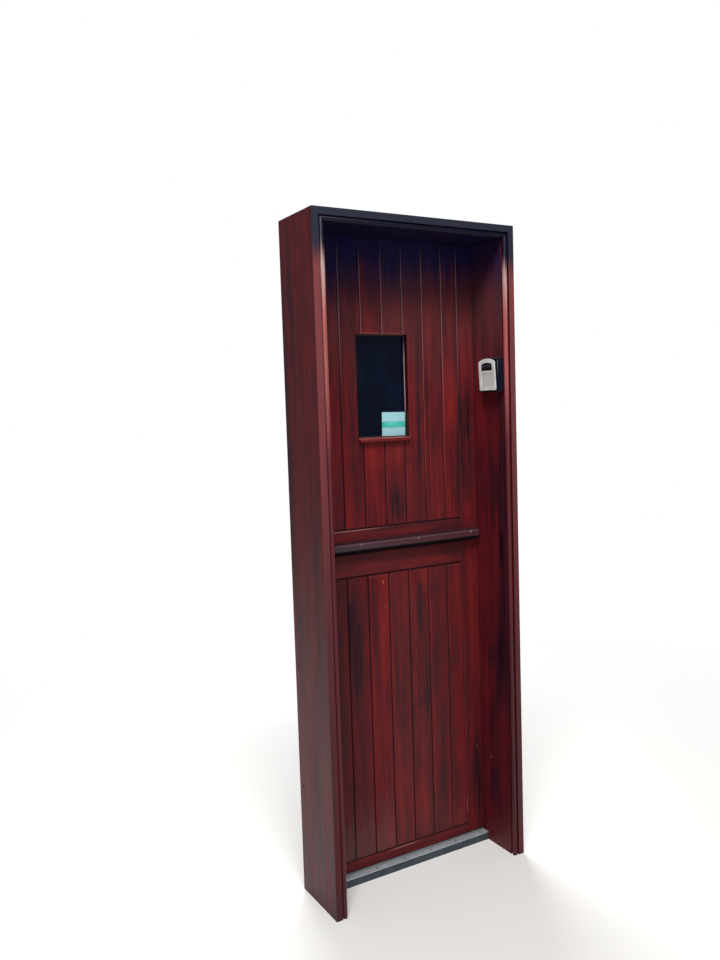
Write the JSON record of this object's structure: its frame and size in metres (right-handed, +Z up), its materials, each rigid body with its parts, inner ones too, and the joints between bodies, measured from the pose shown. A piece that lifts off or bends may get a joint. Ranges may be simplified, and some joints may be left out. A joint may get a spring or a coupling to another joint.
{
  "type": "dutch stable door",
  "caption": "Boarded stable door in its own deep rebated timber frame: two leaves that open inward one above the other, with a small window, drip bar, threshold and key safe.",
  "frame": {"origin": "middle of the doorway, in the plane of the leaves' outer faces, at the underside of the threshold", "axes": "+X to the right as seen from outside, +Y into the building, +Z up"},
  "size_m": [0.691, 0.2585, 1.993],
  "materials": {
    "stained_wood": "mahogany red stain, semi-gloss",
    "painted_threshold": "dark grey paint",
    "threshold_strip": "worn mill finish",
    "screws": "zinc plated",
    "window_glass": "clear",
    "steel_furniture": "satin",
    "black_furniture": "black, satin",
    "lock_cylinder": "satin",
    "key_safe_case": "dark blue-black",
    "key_safe_door": "silver, satin",
    "key_safe_bezel": "black",
    "number_wheels": "dark blue-grey"
  },
  "bodies": {
    "frame": {"jamb_left": "stained_wood", "jamb_right": "stained_wood", "frame_head": "stained_wood", "threshold": "painted_threshold", "threshold_strip": "threshold_strip", "threshold_screws": "screws", "frame_hinge_leaves": "steel_furniture", "hinge_pins": "steel_furniture", "lock_strike": "steel_furniture", "key_safe_case": "key_safe_case", "key_safe_hinge_pin": "key_safe_case"},
    "upper_leaf": {"upper_stile_left": "stained_wood", "upper_stile_right": "stained_wood", "upper_top_rail": "stained_wood", "upper_middle_rail": "stained_wood", "upper_bottom_rail": "stained_wood", "window_lining": "stained_wood", "window_beads": "stained_wood", "window_sill": "stained_wood", "drip_bar": "stained_wood", "upper_board_1": "stained_wood", "upper_board_2": "stained_wood", "upper_board_3": "stained_wood", "upper_board_4": "stained_wood", "upper_board_5": "stained_wood", "upper_board_6": "stained_wood", "upper_board_7": "stained_wood", "window_glass": "window_glass", "drip_bar_screws": "screws", "upper_hinge_leaves": "steel_furniture", "joining_bolt_case": "black_furniture"},
    "joining_bolt": {"joining_bolt_rod": "black_furniture"},
    "lower_leaf": {"lower_stile_left": "stained_wood", "lower_stile_right": "stained_wood", "lower_top_rail": "stained_wood", "lower_bottom_rail": "stained_wood", "lower_brace": "stained_wood", "lower_board_1": "stained_wood", "lower_board_2": "stained_wood", "lower_board_3": "stained_wood", "lower_board_4": "stained_wood", "lower_board_5": "stained_wood", "lower_board_6": "stained_wood", "lower_board_7": "stained_wood", "lower_hinge_leaves": "steel_furniture", "lock_case": "steel_furniture", "lock_cylinder": "lock_cylinder", "lock_escutcheon": "black_furniture", "pull_handle": "black_furniture", "joining_bolt_keep": "black_furniture"},
    "lock_turn": {"lock_turn": "lock_cylinder"},
    "lock_bolt": {"lock_bolt": "steel_furniture"},
    "key_safe_door": {"key_safe_door": "key_safe_door", "key_safe_bezel": "key_safe_bezel", "key_safe_axle": "number_wheels"},
    "key_safe_release": {"key_safe_release": "key_safe_bezel"},
    "number_wheel_1": {"number_wheel_1": "number_wheels"},
    "number_wheel_2": {"number_wheel_2": "number_wheels"},
    "number_wheel_3": {"number_wheel_3": "number_wheels"},
    "number_wheel_4": {"number_wheel_4": "number_wheels"}
  },
  "joints": [
    {"name": "upper_leaf_swing", "type": "hinge", "parent": "frame", "child": "upper_leaf", "pos_m": [0.319, 0.05, 1.495], "axis": [0, 0, -1], "range_deg": [0, 100]},
    {"name": "lower_leaf_swing", "type": "hinge", "parent": "frame", "child": "lower_leaf", "pos_m": [0.319, 0.05, 0.5255], "axis": [0, 0, -1], "range_deg": [0, 100]},
    {"name": "joining_bolt_slide", "type": "slide", "parent": "upper_leaf", "child": "joining_bolt", "axis": [0, 0, -1], "range_m": [0, 0.034]},
    {"name": "lock_turn", "type": "hinge", "parent": "lower_leaf", "child": "lock_turn", "pos_m": [-0.2725, 0.022, 0.84], "axis": [0, -1, 0], "range_deg": [0, 360]},
    {"name": "lock_bolt_slide", "type": "slide", "parent": "lower_leaf", "child": "lock_bolt", "axis": [-1, 0, 0], "range_m": [0, 0.0151]},
    {"name": "key_safe_door_swing", "type": "hinge", "parent": "frame", "child": "key_safe_door", "pos_m": [0.2799, -0.1105, 1.4975], "axis": [0, -1, 0], "range_deg": [0, 95]},
    {"name": "key_safe_release_push", "type": "slide", "parent": "key_safe_door", "child": "key_safe_release", "axis": [1, 0, 0], "range_m": [0, 0.0012], "stiffness_N_per_m": 200},
    {"name": "number_wheel_1_spin", "type": "hinge", "parent": "key_safe_door", "child": "number_wheel_1", "pos_m": [0.2805, -0.1249, 1.5705], "axis": [0, 1, 0], "continuous": true},
    {"name": "number_wheel_2_spin", "type": "hinge", "parent": "key_safe_door", "child": "number_wheel_2", "pos_m": [0.2805, -0.1153, 1.5705], "axis": [0, 1, 0], "continuous": true},
    {"name": "number_wheel_3_spin", "type": "hinge", "parent": "key_safe_door", "child": "number_wheel_3", "pos_m": [0.2805, -0.1057, 1.5705], "axis": [0, 1, 0], "continuous": true},
    {"name": "number_wheel_4_spin", "type": "hinge", "parent": "key_safe_door", "child": "number_wheel_4", "pos_m": [0.2805, -0.0961, 1.5705], "axis": [0, 1, 0], "continuous": true}
  ],
  "couplings": [
    {"joint": "lock_bolt_slide", "follows": "lock_turn", "m_per_rad": 0.0023873}
  ]
}
